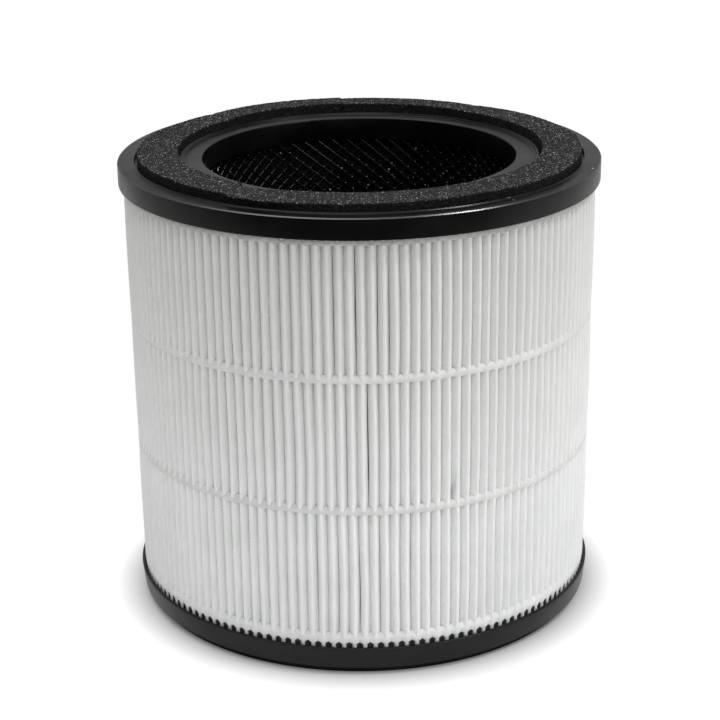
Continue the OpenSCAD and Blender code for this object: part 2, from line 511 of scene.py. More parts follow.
@dataclass(frozen=True)
class MouldedPlastic:
    """Black satin plastic with a fine moulded grain and, if wanted, a glossier outer edge."""

    name: str
    first: Colour = (0.0018, 0.0018, 0.0024)
    second: Colour = (0.0034, 0.0034, 0.0042)
    smooth: float = 0.26
    rough: float = 0.36
    specular: float = 0.19
    # The glossier edge: its specular level, its least radius, and how far it may face up
    edge_specular: float = 0.19
    edge_from: float = 0.0915
    edge_rise: tuple[float, float] = (0.1, 0.25)
    edge_crown: tuple[float, float] = (0.9, 0.97)
    # The uneven tone and the moulded grain
    tone_scale: float = 45.0
    grain_scale: float = 2600.0
    grain_depth: float = 0.000012
    # Light scuffs
    marks: tuple[Mark, ...] = ()
    mark_colour: Colour = (0.3, 0.3, 0.3)

    def make(self, effects: SharedEffects) -> bpy.types.Material:
        """Builds the material.

        Args:
            effects: the shared node groups.

        Returns:
            The material.
        """
        finish = Finish(self.name)
        graph = finish.graph
        tone = finish.tone(effects, self.tone_scale, self.first, self.second)
        colour = tone["Color"]
        rough = graph.span(tone["Value"], 0.0, 1.0, self.smooth, self.rough)
        for mark in self.marks:
            inputs = {
                "Vector": finish.place,
                "From": [value * MM for value in mark.start],
                "To": [value * MM for value in mark.end],
                "Width": mark.width * MM,
            }
            mask = graph.group(effects.mark, inputs).outputs["Mask"]
            colour = graph.blend(mask, colour, (*self.mark_colour, 1))
        finish.feed("Base Color", colour)
        finish.feed("Roughness", rough)
        upward = finish.upward()
        tilted = graph.span(upward, *self.edge_rise)
        edge = graph.math("MULTIPLY", tilted, graph.span(upward, *self.edge_crown, 1.0, 0.0))
        outside = graph.math("GREATER_THAN", finish.away(), self.edge_from)
        rim = graph.math("MULTIPLY", edge, outside)
        specular = graph.span(rim, 0.0, 1.0, self.specular, self.edge_specular)
        finish.feed("Specular IOR Level", specular)
        grain = graph.group(effects.grain, {"Vector": finish.place, "Scale": self.grain_scale})
        finish.bump(grain.outputs["Height"], self.grain_depth)
        return finish.material


@dataclass(frozen=True)
class OpenCellFoam:
    """Charcoal open-cell foam: painted glints on its upward cell walls over a dark body, with
    painted shade in its hollows and on its sides.
    """

    name: str = "charcoal_foam"
    # Painted shade for the hollows and sides, the body, and painted glints on the cell walls that
    # face up
    pit: Colour = (0.0025, 0.0028, 0.0028)
    body: Colour = (0.006, 0.0065, 0.0063)
    glint: Colour = (0.42, 0.44, 0.43)
    rough: tuple[float, float] = (0.85, 0.5)
    specular: float = 0.25
    # The cells, and the finer layer over them
    cell_scale: float = 1250.0
    cell_depth: float = 0.00022
    fine_ratio: float = 1.7
    fine_share: float = 0.7
    # Which cells get painted glints and how far from their middle, where painted shade darkens the
    # hollows, and the sides, which keep a small share of the glints and get painted shade
    least: tuple[float, float] = (0.52, 0.66)
    core: tuple[float, float] = (0.12, 0.5)
    hollow: tuple[float, float] = (0.3, 0.75)
    glint_power: float = 1.6
    side_glint: float = 0.12
    side_span: tuple[float, float] = (0.2, 0.8)
    side_dark: float = 0.6

    def make(self, effects: SharedEffects) -> bpy.types.Material:
        """Builds the material.

        Args:
            effects: the shared node groups.

        Returns:
            The material.
        """
        finish = Finish(self.name)
        graph = finish.graph
        layers = []
        for ratio in (1.0, self.fine_ratio):
            inputs = {"Vector": finish.place, "Scale": self.cell_scale * ratio}
            layers.append(graph.group(effects.cells, inputs).outputs)
        glints = []
        for layer, least in zip(layers, self.least):
            core = graph.span(layer["Depth"], *self.core, 1.0, 0.0)
            share = graph.span(layer["Random"], least, 1.0)
            power = graph.math("POWER", share, self.glint_power)
            glints.append(graph.math("MULTIPLY", core, power))
        lit = graph.math("MAXIMUM", glints[0], graph.math("MULTIPLY", glints[1], self.fine_share))
        fine_depth = layers[1]["Depth"]
        hollow = graph.span(fine_depth, *self.hollow)
        # Painted highlight where the faces look up, and painted shade on the sides and in the
        # hollows
        lit_top_share = graph.span(finish.upward(), *self.side_span, self.side_glint, 1.0)
        side = graph.span(lit_top_share, self.side_glint, self.side_dark, 1.0, 0.0)
        painted_shade_share = graph.math("MAXIMUM", hollow, side)
        body = graph.blend(painted_shade_share, (*self.body, 1), (*self.pit, 1))
        painted_glint_colour = graph.blend(graph.math("MULTIPLY", lit, lit_top_share), body, (*self.glint, 1))
        finish.feed("Base Color", painted_glint_colour)
        finish.feed("Roughness", graph.span(lit, 0.0, 1.0, *self.rough))
        finish.feed("Specular IOR Level", self.specular)
        finish.bump(graph.math("SUBTRACT", 1.0, fine_depth), self.cell_depth)
        return finish.material


@dataclass(frozen=True)
class PleatedPaper:
    """White non-woven with a diagonal bond pattern that follows the sheet, with painted shade that
    greys it towards the top.
    """

    name: str = "white_nonwoven"
    first: Colour = (0.89, 0.90, 0.89)
    second: Colour = (0.93, 0.935, 0.93)
    # Painted shade: the grey the paper blends to between these heights, in metres, standing in for
    # the shade towards the top under the skirt
    upper: Colour = (0.72, 0.725, 0.71)
    painted_shade_span: tuple[float, float] = (0.06, 0.165)
    tone_scale: float = 70.0
    rough: float = 0.85
    specular: float = 0.25
    sheen: float = 0.15
    # The bond pattern: two crossed waves, in degrees, of which the second is fainter
    bond: Colour = (0.62, 0.64, 0.63)
    bond_share: float = 0.16
    bond_pitch: float = 0.0009
    bond_turns: tuple[float, float] = (38.0, -52.0)
    bond_waver: float = 0.6
    bond_cross: float = 0.45
    # The relief: the bond's ribs, and fibres all over
    fibre_scale: float = 2300.0
    rib_share: float = 0.8
    fibre_share: float = 0.5
    relief: float = 0.00009
    # The place along and up the sheet
    attribute: str = "sheet"

    def make(self, effects: SharedEffects) -> bpy.types.Material:
        """Builds the material.

        Args:
            effects: the shared node groups.

        Returns:
            The material.
        """
        finish = Finish(self.name)
        graph = finish.graph
        sheet = graph.add("Attribute", attribute_name=self.attribute).outputs["Vector"]
        waves = []
        for turn in self.bond_turns:
            inputs = {"Vector": sheet, "Rotation": (0, 0, math.radians(turn))}
            slanted = graph.add("Mapping", inputs).outputs[0]
            scale = WAVE_BAND / self.bond_pitch
            inputs = {"Vector": slanted, "Scale": scale, "Distortion": self.bond_waver}
            waves.append(graph.add("TexWave", inputs).outputs["Fac"])
        cross = graph.span(waves[1], 0.0, 1.0, self.bond_cross, 1.0)
        twill = graph.math("MULTIPLY", waves[0], cross)
        fibre = graph.group(effects.grain, {"Vector": sheet, "Scale": self.fibre_scale})
        tone = finish.tone(effects, self.tone_scale, self.first, self.second)
        bond = graph.span(twill, 0.0, 0.5, self.bond_share, 0.0)
        bonded = graph.blend(bond, tone["Color"], (*self.bond, 1))
        # Painted shade: greyer towards the top
        height = graph.span(finish.part("Z"), *self.painted_shade_span)
        finish.feed("Base Color", graph.blend(height, bonded, (*self.upper, 1)))
        finish.feed("Roughness", self.rough)
        finish.feed("Specular IOR Level", self.specular)
        finish.feed("Sheen Weight", self.sheen)
        ribs = graph.math("MULTIPLY", twill, self.rib_share)
        fibres = graph.math("MULTIPLY", fibre.outputs["Height"], self.fibre_share)
        finish.bump(graph.math("ADD", ribs, fibres), self.relief)
        return finish.material


@dataclass(frozen=True)
class HotMelt:
    """Set hot-melt adhesive in one of its colours, darkened inside a radius and low down with
    painted shade for recessed notches.
    """

    name: str
    first: Colour
    second: Colour
    rough: float = 0.42
    rough_span: float = 0.15
    # Painted shade: the dark colour, and the radius and height in metres inside and below which it
    # fills the recessed notches
    notch_shade: Colour = (0.055, 0.055, 0.062)
    notch_shade_r: float = 0.0
    notch_shade_top: float = 0.0135
    tone_scale: float = 160.0
    grain_scale: float = 700.0
    grain_depth: float = 0.00006

    def make(self, effects: SharedEffects) -> bpy.types.Material:
        """Builds the material.

        Args:
            effects: the shared node groups.

        Returns:
            The material.
        """
        finish = Finish(self.name)
        graph = finish.graph
        tone = finish.tone(effects, self.tone_scale, self.first, self.second)
        # Painted shade where the glue recedes into the notches
        inside = graph.math("LESS_THAN", finish.away(), self.notch_shade_r)
        below = graph.math("LESS_THAN", finish.part("Z"), self.notch_shade_top)
        notch_shaded = graph.math("MULTIPLY", inside, below)
        finish.feed("Base Color", graph.blend(notch_shaded, tone["Color"], (*self.notch_shade, 1)))
        rough = graph.span(tone["Value"], 0.0, 1.0, self.rough, self.rough + self.rough_span)
        finish.feed("Roughness", rough)
        grain = graph.group(effects.grain, {"Vector": finish.place, "Scale": self.grain_scale})
        finish.bump(grain.outputs["Height"], self.grain_depth)
        return finish.material


@dataclass(frozen=True)
class CarbonGrain:
    """Black granules with a few bright flecks, painted near white as glints of their facets."""

    name: str = "carbon_granules"
    dark: Colour = (0.0015, 0.0015, 0.0018)
    pale: Colour = (0.006, 0.006, 0.007)
    # Painted highlight: a few granules painted near white stand in for glints of their facets, and
    # get more specular
    glint_fleck: Colour = (0.95, 0.90, 0.76)
    fleck_least: float = 0.972
    fleck_core: tuple[float, float] = (0.2, 0.4)
    rough: tuple[float, float] = (0.65, 0.3)
    specular: tuple[float, float] = (0.12, 1.0)
    grain_scale: float = 800.0
    grain_depth: float = 0.0004

    def make(self, effects: SharedEffects) -> bpy.types.Material:
        """Builds the material.

        Args:
            effects: the shared node groups.

        Returns:
            The material.
        """
        finish = Finish(self.name)
        graph = finish.graph
        inputs = {"Vector": finish.place, "Scale": self.grain_scale}
        cells = graph.group(effects.cells, inputs).outputs
        bright = graph.math("GREATER_THAN", cells["Random"], self.fleck_least)
        core = graph.span(cells["Depth"], *self.fleck_core, 1.0, 0.0)
        glint_fleck = graph.math("MULTIPLY", bright, core)
        body = graph.blend(cells["Random"], (*self.dark, 1), (*self.pale, 1))
        finish.feed("Base Color", graph.blend(glint_fleck, body, (*self.glint_fleck, 1)))
        finish.feed("Roughness", graph.span(cells["Random"], 0.0, 1.0, *self.rough))
        finish.feed("Specular IOR Level", graph.span(glint_fleck, 0.0, 1.0, *self.specular))
        finish.bump(graph.math("SUBTRACT", 1.0, cells["Depth"]), self.grain_depth)
        return finish.material


@dataclass(frozen=True)
class ThinFleece:
    """Thin white fleece of the sleeve behind the pleats."""

    name: str = "white_fleece"
    first: Colour = (0.72, 0.73, 0.72)
    second: Colour = (0.83, 0.83, 0.82)
    tone_scale: float = 900.0
    rough: float = 0.9
    relief: float = 0.00008

    def make(self, effects: SharedEffects) -> bpy.types.Material:
        """Builds the material.

        Args:
            effects: the shared node groups.

        Returns:
            The material.
        """
        finish = Finish(self.name)
        tone = finish.tone(effects, self.tone_scale, self.first, self.second)
        finish.feed("Base Color", tone["Color"])
        finish.feed("Roughness", self.rough)
        finish.bump(tone["Value"], self.relief)
        return finish.material


# Caps


@dataclass
class TopCap:
    """Moulded ring with a skirt, a ledge, a lipped foam channel and a collar, in mm."""

    outer_r: float = 93.0
    skirt_wall: float = 2.0
    skirt_low: float = 169.4
    face: float = 177.5
    opening_r: float = OPENING_R
    collar_wall: float = 1.6
    collar_low: float = 168.5
    plate_low: float = 174.5
    # The foam channel, and its lips: their width, height and slope away from it
    channel_in: float = 69.2
    channel_out: float = 86.5
    channel_floor: float = CHANNEL_FLOOR
    lip_w: float = 0.8
    lip_h: float = 0.5
    lip_run: float = 0.4
    # The inner ring: its dish by the lip, which dies out towards the mouth
    dish: float = 0.35
    dish_run: float = 2.6
    dish_rise: float = 0.2
    # The skirt's upper edge
    bevel: float = 0.4
    segments: int = 360

    def corners(self) -> list[Corner]:
        """Corners of the half section.

        Returns:
            Radius, height and rounding of each corner.
        """
        face, lip_top = self.face, self.face + self.lip_h
        skirt_in = self.outer_r - self.skirt_wall
        inner_lip = self.channel_in - self.lip_w
        outer_lip = self.channel_out + self.lip_w
        collar_out = self.opening_r + self.collar_wall
        return [
            (self.opening_r, self.collar_low, 0.4),
            (collar_out, self.collar_low, 0.4),
            (collar_out, self.plate_low, 0.0),
            (skirt_in, self.plate_low, 0.0),
            (skirt_in, self.skirt_low, 0.5),
            (self.outer_r, self.skirt_low, 0.4),
            (self.outer_r, face - self.bevel, 0.12),
            (self.outer_r - self.bevel, face, 0.12),
            (outer_lip + self.lip_run, face, 0.15),
            (outer_lip, lip_top, 0.2),
            (self.channel_out, lip_top, 0.15),
            (self.channel_out, self.channel_floor, 0.0),
            (self.channel_in, self.channel_floor, 0.0),
            (self.channel_in, lip_top, 0.15),
            (inner_lip, lip_top, 0.2),
            (inner_lip - self.lip_run, face - self.dish, 0.3),
            (inner_lip - self.dish_run, face - self.dish * self.dish_rise, 1.5),
            (self.opening_r, face, 0.45),
        ]

    def build(self, material: bpy.types.Material) -> None:
        """Turns the cap and places it.

        Args:
            material: its plastic.
        """
        bm = turned(rounded(self.corners()), self.segments)
        Piece("top_cap_ring", "cap_plastic", ("top_cap",)).place(bm, material)


@dataclass
class BottomCap:
    """Moulded cap with a low tapered skirt and a foot that stands in, in mm."""

    rim_out: float = 91.6
    rim_in: float = 90.3
    rim_top: float = RIM_TOP
    skirt_low: float = 3.1
    skirt_low_r: float = 90.6
    foot_r: float = 87.8
    foot_in: float = 82.4
    underside: float = 1.5
    floor: float = 3.5
    wall_low_r: float = 89.3
    media_low: float = MEDIA_LOW
    collar_out: float = 62.1
    collar_in: float = OPENING_R
    segments: int = 360

    def corners(self) -> list[Corner]:
        """Corners of the half section, from the axis underneath to the axis above.

        Returns:
            Radius, height and rounding of each corner.
        """
        return [
            (0.0, self.underside, 0.0),
            (self.foot_in, self.underside, 0.3),
            (self.foot_in, 0.0, 0.4),
            (self.foot_r, 0.0, 0.15),
            (self.foot_r, self.skirt_low, 0.2),
            (self.skirt_low_r, self.skirt_low, 0.35),
            (self.rim_out, self.rim_top, 0.45),
            (self.rim_in, self.rim_top, 0.3),
            (self.rim_in, self.media_low, 0.0),
            (self.wall_low_r, self.floor, 0.0),
            (self.collar_out, self.floor, 0.3),
            (self.collar_out, self.rim_top, 0.4),
            (self.collar_in, self.rim_top, 0.4),
            (self.collar_in, self.floor, 0.3),
            (0.0, self.floor, 0.0),
        ]

    def build(self, material: bpy.types.Material) -> None:
        """Turns the cap and places it.

        Args:
            material: its plastic.
        """
        bm = turned(rounded(self.corners()), self.segments, closed=False)
        Piece("bottom_cap_tray", "cap_plastic", ("bottom_cap",)).place(bm, material)


# Foam seal


@dataclass(frozen=True)
class Strip:
    """One foam strip, in mm: its node, and its inner and outer radius at angles along it.

    The slants say how far the inner and outer corners of its first and last end lie past that
    end's angle, and the reach says over how many degrees a slant dies out.
    """

    node: str
    stops: tuple[tuple[float, float, float], ...]
    slants: tuple[tuple[float, float], tuple[float, float]] = ((0, 0), (0, 0))
    slant_reach: float = 9.0

    def edges(self, angle: float) -> tuple[float, float]:
        """The strip's two edges at an angle, straight between its stops.

        Args:
            angle: the angle, in degrees, from the first stop's to the last one's.

        Returns:
            The inner and the outer radius.
        """
        for first, second in zip(self.stops, self.stops[1:]):
            if angle <= second[0]:
                break
        share = min(max((angle - first[0]) / (second[0] - first[0]), 0), 1)
        inner = first[1] + (second[1] - first[1]) * share
        outer = first[2] + (second[2] - first[2]) * share
        return inner, outer

    def slide(self, angle: float, share: float) -> float:
        """How far a point slides along the arc near a slanted end.

        Args:
            angle: the point's angle, in degrees.
            share: its share of the strip's width, from the inner edge.

        Returns:
            The distance.
        """
        total = 0.0
        for stop, (inner, outer) in zip((self.stops[0], self.stops[-1]), self.slants):
            near = max(0.0, 1 - abs(angle - stop[0]) / self.slant_reach)
            total += (inner + (outer - inner) * share) * near
        return total


@dataclass
class FoamSeal:
    """Five foam strips laid end to end in the channel, in mm."""

    # The plain strip, before its edges are laid, and the channel that holds its lower part
    mid_r: float = 77.85
    width: float = 14.6
    low: float = CHANNEL_FLOOR
    lip_top: float = 178.1
    top: float = 180.9
    channel: tuple[float, float] = (69.3, 86.4)
    edge_round: float = 0.45
    end_gap: float = 0.06
    # The mesh, and the angle by which a point may lie before its strip's start
    mesh_step: float = 0.36
    round_steps: int = 3
    floor_parts: int = 6
    turn_slack: float = 0.01
    # The skin: open cells and tufts, from just above the floor
    skin_low: float = 0.2
    cell: float = 0.95
    pit_depth: float = 0.26
    pit_narrow: float = 2.0
    tuft: float = 0.1
    tuft_cell: float = 0.6
    # The wavy edge, which differs from strip to strip, and the uneven top
    edge_wave: float = 0.22
    wave_size: float = 4.0
    wave_shift: float = 5.0
    settle: float = 0.03
    sag: float = 0.05
    sag_size: float = 9.0
    # The strips, anticlockwise from the back on the right
    strips: tuple[Strip, ...] = (
        Strip("foam_back_right", (
            (53, 72.2, 83), (60, 73, 84.3), (70, 73.5, 85), (85, 73.6, 85.2), (95, 73.4, 84.6),
        )),
        Strip("foam_back_left", (
            (95, 74.4, 86.2), (104, 74.6, 86.4), (118, 74, 86), (127, 72.8, 85.2), (136, 72, 83.6),
        )),
        Strip("foam_left", (
            (136, 70.4, 82.3), (139, 70.4, 84), (148, 70.4, 84), (155, 70.2, 84.6),
            (165, 70, 85.5), (190, 69.7, 85.4), (205, 69.5, 85), (215, 69.5, 84.4),
            (235, 69.5, 84.4),
        ), slants=((0, 0), (-2.8, 3.7))),
        Strip("foam_front", (
            (235, 74, 86.7), (238, 73.4, 87), (245, 72, 87.4), (250, 70.6, 87.2),
            (256, 70.4, 86.4), (270, 70.3, 86.1), (285, 70.2, 85.7), (295, 70, 84.8),
            (300, 70, 84.6),
        ), slants=((-2.8, 3.7), (0, 0))),
        Strip("foam_right", (
            (300, 70, 84.3), (304, 70, 84.9), (310, 70.2, 85.5), (325, 70.4, 86.1),
            (345, 70.5, 85.5), (360, 70.5, 85.5), (368, 71, 86.2), (380, 71.2, 85.3),
            (400, 71.3, 85.3), (413, 71.5, 83.8),
        )),
    )

    def section(self) -> list[Point]:
        """Points of a strip's section at the mesh step: its floor, sides and top.

        Returns:
            The points, across from the strip's middle and up.
        """
        half = self.width / 2
        corners = [
            (-half, self.low, 0.0),
            (half, self.low, 0.0),
            (half, self.top, self.edge_round),
            (-half, self.top, self.edge_round),
        ]
        points: list[Point] = []
        outline = rounded(corners, self.round_steps)
        for first, second in zip(outline, outline[1:] + outline[:1]):
            run = Vector(second) - Vector(first)
            floor = first[1] == self.low and second[1] == self.low
            parts = self.floor_parts if floor else max(1, round(run.length / self.mesh_step))
            points += [tuple(Vector(first) + run * part / parts) for part in range(parts)]
        return points

    def build_strip(self, strip: Strip, material: bpy.types.Material) -> None:
        """Sweeps one strip along its arc, lays its edges and roughens its skin with open cells.

        Args:
            strip: the strip.
            material: its foam.
        """
        gap = math.degrees(self.end_gap / self.mid_r) / 2
        start = math.radians(strip.stops[0][0] + gap)
        sweep = math.radians(strip.stops[-1][0] - gap) - start
        bm = bmesh.new()
        verts = [bm.verts.new(((self.mid_r + x) * MM, 0, z * MM)) for x, z in self.section()]
        edges = [bm.edges.new(pair) for pair in zip(verts, verts[1:] + verts[:1])]
        bm.faces.new(verts)
        bmesh.ops.rotate(bm, verts=verts, cent=(0, 0, 0), matrix=Matrix.Rotation(start, 3, "Z"))
        steps = round(sweep * self.mid_r / self.mesh_step)
        last = bmesh.ops.spin(
            bm, geom=edges, cent=(0, 0, 0), axis=(0, 0, 1), angle=sweep, steps=steps,
        )["geom_last"]
        bm.faces.new([piece for piece in last if isinstance(piece, bmesh.types.BMVert)])
        bmesh.ops.recalc_face_normals(bm, faces=bm.faces)
        bm.normal_update()
        moves = [(vert, self.skin_move(vert, strip, start)) for vert in bm.verts]
        for vert, move in moves:
            vert.co += move
        piece = Piece(strip.node + "_strip", "seal_foam", (strip.node,), math.radians(80))
        piece.place(bm, material)

    def skin_move(self, vert: bmesh.types.BMVert, strip: Strip, start: float) -> Vector:
        """Finds how one point of a strip's skin moves: the strip's lay, its wavy edge, its pits.

        Args:
            vert: the point, on the plain swept strip.
            strip: the strip.
            start: the angle where the strip starts, in radians.

        Returns:
            The move, in metres.
        """
        spot = vert.co / MM
        outward = Vector((spot.x, spot.y, 0)).normalized()
        past = math.atan2(spot.y, spot.x) - start
        turn = (past + self.turn_slack) % math.tau - self.turn_slack
        angle = math.degrees(start + turn)
        inner, outer = strip.edges(angle)
        seat = Vector((spot.x, spot.y, self.wave_shift * start))
        wave = self.edge_wave * noise.noise(seat / self.wave_size)
        free = min(max((spot.z - self.lip_top) / (self.top - self.lip_top), 0), 1)
        inner = max(inner, self.channel[0])
        outer = min(outer, self.channel[1]) * (1 - free) + outer * free
        share = (spot.xy.length - self.mid_r) / self.width + 0.5
        move = outward * (inner + (outer - inner) * share + wave - spot.xy.length)
        move += Vector((-outward.y, outward.x, 0)) * strip.slide(angle, share)
        if spot.z > self.low + self.skin_low:
            near = noise.voronoi(spot / self.cell)[0]
            pit = max(0.0, 1 - near[0] * self.pit_narrow) * self.pit_depth
            tuft = noise.noise(spot / (self.cell * self.tuft_cell)) * self.tuft
            move += vert.normal * (tuft - pit)
            move.z -= self.settle + self.sag * (1 + noise.noise(spot / self.sag_size))
        return move * MM

    def build(self, material: bpy.types.Material) -> None:
        """Builds the five strips.

        Args:
            material: their foam.
        """
        for strip in self.strips:
            self.build_strip(strip, material)


# Pleated paper and its glue


@dataclass
class PleatPack:
    """One sheet folded into a closed ring of pleats, and the glue beads that hold it, in mm."""

    # The folds: crests outside, roots inside, and bellies where neighbours nearly touch
    count: int = 144
    crest_r: float = 90.15
    root_r: float = 68.4
    fold_r: float = 0.85
    arc_half: float = math.radians(62)
    root_fold_r: float = 1.0
    paper_t: float = 0.65
    bend_least: float = 0.12
    belly_depth: float = 1.2
    belly_gap: float = 0.08
    low: float = MEDIA_LOW
    top: float = MEDIA_TOP
    rim_top: float = RIM_TOP
    # The foot, where the bottom cap grips the pleats: how narrow they are, and how far up
    foot_pinch: float = 0.52
    foot_h: float = 1.8
    # How the pleats stray: they sway sideways and swell between beads, each by itself and with
    # its neighbours, tuck in under the bottom bead and flare towards the top
    sway: float = 0.42
    sway_pace: tuple[float, float] = (0.31, 7.7)
    sway_own: float = 0.55
    sway_shared: float = 1.1
    sway_twist: float = 0.35
    swell: float = 0.3
    swell_mean: float = 0.7
    swell_own: float = 0.4
    swell_power: float = 0.8
    tuck: float = 0.7
    flare: float = 0.8
    flare_low: float = 25.0
    # The beads: how far they stand out from the crests, sag and arch over the valleys, climb
    # the walls there, round off, bite into the paper, and waver along their run
    beads: tuple[float, ...] = (14.9, 65.9, 116.9, 167.9)
    bead_nodes: tuple[str, ...] = ("bottom_bead", "lower_bead", "upper_bead", "top_bead")
    bead_h: float = 2.4
    bead_proud: float = 0.06
    bead_sag: float = 0.2
    bead_arch: float = 0.35
    bead_climb: float = 1.6
    bead_sink: float = 1.2
    bead_round: float = 0.3
    bead_bite: float = 0.12
    bead_levels: tuple[float, ...] = (-1.0, -0.75, -0.3, 0.0, 0.25, 0.5, 0.75)
    wobble: float = 0.22
    wobble_pace: tuple[float, float] = (0.11, 9.1)
    wobble_out: float = 0.3
    wobble_top: float = 0.6
    wobble_foot: float = 0.5
    # The bottom bead's pointed lower edge, and its back, which goes down behind the cap's rim
    foot_arch: float = 1.2
    foot_low: float = 1.0
    foot_back: float = 0.6
    foot_sink: float = 0.4
    foot_lift: float = 0.1
    # The mesh: its rows' spacing, the inner face's coarser rows, and the folds' facets
    row_step: float = 5.4
    inner_rows: int = 3
    crest_steps: int = 6
    crease_steps: int = 2
    seed: int = SEED
    sways: list[list[float]] = field(default_factory=list)

    def __post_init__(self) -> None:
        """Draws each pleat's own sway between the beads."""
        rng = random.Random(self.seed)
        spans = len(self.beads) + 1
        for _ in range(self.count):
            self.sways.append([rng.uniform(-1, 1) for _ in range(spans)])

    def pitch(self) -> float:
        """Angle from one crest to the next."""
        return math.tau / self.count

    def span_share(self, height: float) -> tuple[int, float]:
        """Finds the stretch between two beads that a height is in.

        Args:
            height: the height.

        Returns:
            The stretch, from the bottom, and the height's share of the way up it.
        """
        stops = [self.low, *self.beads, self.top]
        for index in range(len(stops) - 1):
            if height <= stops[index + 1]:
                return index, (height - stops[index]) / (stops[index + 1] - stops[index])
        return len(stops) - 2, 1.0

    def lean(self, pleat: int, height: float) -> float:
        """How far a pleat's crest leans sideways.

        Args:
            pleat: which pleat.
            height: the height.

        Returns:
            The distance, which is 0 at each bead.
        """
        index, share = self.span_share(height)
        if index in (0, len(self.beads)):
            return 0.0
        own = self.sways[pleat % self.count][index]
        along, up = self.sway_pace
        smooth = noise.noise(Vector((pleat * along, index * up, 0)))
        twist = self.sway_twist * own * math.sin(2 * math.pi * share)
        wave = math.sin(math.pi * share) + twist
        return self.sway * (self.sway_own * own + self.sway_shared * smooth) * wave

    def crest_at(self, pleat: int, height: float) -> float:
        """Radius of a pleat's crest: tucked in at the foot, swollen between beads, flared upwards.

        Args:
            pleat: which pleat.
            height: the height.

        Returns:
            The radius.
        """
        index, share = self.span_share(height)
        if index == 0:
            return self.crest_r - self.tuck * (1 - share)
        risen = (height - self.flare_low) / (self.beads[-1] - self.flare_low)
        radius = self.crest_r + self.flare * min(max(risen, 0), 1)
        if index == len(self.beads):
            return radius
        own = self.swell_mean + self.swell_own * self.sways[pleat % self.count][index - 1]
        return radius + self.swell * own * math.sin(math.pi * share) ** self.swell_power

    def pinch_at(self, height: float) -> float:
        """How much narrower the pleats are where the bottom cap grips them, 1 for not at all."""
        share = (height - self.rim_top) / self.foot_h
        return self.foot_pinch + (1 - self.foot_pinch) * min(max(share, 0), 1)

    def spot(self, radius: float, across: float, angle: float, height: float) -> Vector:
        """Finds a point at a radius on a ray, moved across that ray.

        Args:
            radius: its radius, in mm.
            across: how far it moves across, in mm.
            angle: the ray's angle, in radians.
            height: its height, in mm.

        Returns:
            The point, in metres.
        """
        cosine, sine = math.cos(angle), math.sin(angle)
        x = radius * cosine - across * sine
        y = radius * sine + across * cosine
        return Vector((x, y, height)) * MM

    def outline(self, height: float, outer: bool) -> list[Vector]:
        """The folded sheet's outer or inner face once round, at one height.

        Args:
            height: the height, in mm.
            outer: True for the outer face.

        Returns:
            The face's points, with the same count and order for either face.
        """
        skin = 0.0 if outer else self.paper_t
        pinch = self.pinch_at(height)
        crest_bend = max(self.fold_r * pinch - skin, self.bend_least)
        root_bend = self.root_fold_r - (self.paper_t - skin)
        root_mid = self.root_r + self.root_fold_r
        points: list[Vector] = []
        for pleat in range(self.count):
            angle = self.pitch() * pleat + math.pi / 2
            lean = self.lean(pleat, height)
            crest_mid = self.crest_at(pleat, height) - self.fold_r * pinch
            belly_r = crest_mid - self.belly_depth
            belly = (belly_r * math.tan(self.pitch() / 2) - self.belly_gap / 2) * pinch - skin
            points.append(self.spot(belly_r, lean - belly, angle, height))
            for step in range(self.crest_steps + 1):
                turn = self.arc_half * (2 * step / self.crest_steps - 1)
                radius = crest_mid + crest_bend * math.cos(turn)
                across = crest_bend * math.sin(turn) + lean
                points.append(self.spot(radius, across, angle, height))
            points.append(self.spot(belly_r, lean + belly, angle, height))
            root_angle = angle + self.pitch() / 2
            for step in range(self.crease_steps + 1):
                turn = math.pi * step / self.crease_steps - math.pi / 2
                radius = root_mid - root_bend * math.cos(turn)
                across = root_bend * math.sin(turn)
                points.append(self.spot(radius, across, root_angle, height))
        return points

    def heights(self, step: float) -> list[float]:
        """Heights of the rows up the sheet, with a row at every bead and at the rim.

        Args:
            step: about how far apart they are.

        Returns:
            The heights.
        """
        stops = [self.low, self.rim_top, self.rim_top + self.foot_h, *self.beads, self.top]
        rows: list[float] = []
        for lower, upper in zip(stops, stops[1:]):
            parts = max(1, round((upper - lower) / step))
            rows += [lower + (upper - lower) * part / parts for part in range(parts)]
        return rows + [self.top]

    def build_sheet(self, material: bpy.types.Material) -> None:
        """Folds the sheet and gives it the attribute that its bond pattern follows.

        Args:
            material: its non-woven.
        """
        outer = [self.outline(height, True) for height in self.heights(self.row_step)]
        inner_step = self.row_step * self.inner_rows
        inner = [self.outline(height, False) for height in self.heights(inner_step)]
        bm = lofted(outer + inner[::-1])
        piece = Piece("pleated_sheet", "filter_media", ("pleated_media",), math.radians(75))
        sheet = piece.place(bm, material)
        self.mark_sheet(sheet.data, outer[0])
        self.flat_width() * MM

    def flat_width(self) -> float:
        """Length of the sheet before it was folded, measured along its middle.

        Returns:
            The length, in mm.
        """
        faces = [self.outline(self.beads[1], outer) for outer in (True, False)]
        total = 0.0
        for face in faces:
            pairs = zip(face, face[1:] + face[:1])
            total += sum((second - first).length for first, second in pairs)
        return total / len(faces) / MM

    def mark_sheet(self, mesh: bpy.types.Mesh, outline: Sequence[Vector]) -> None:
        """Stores each point's distance along the sheet and its height, in metres.

        Args:
            mesh: the sheet's mesh.
            outline: its outer face once round.
        """
        along = [0.0]
        for first, second in zip(outline, outline[1:]):
            along.append(along[-1] + (second - first).length)
        stations = mesh.attributes["station"].data
        marks = mesh.attributes.new("sheet", "FLOAT_VECTOR", "POINT")
        for vert in mesh.vertices:
            marks.data[vert.index].vector = (along[stations[vert.index].value], vert.co.z, 0)

    def per_pleat(self) -> int:
        """Points of the outline in one pleat: its two folds, and one at each side of its belly."""
        return self.crest_steps + 1 + self.crease_steps + 1 + 2

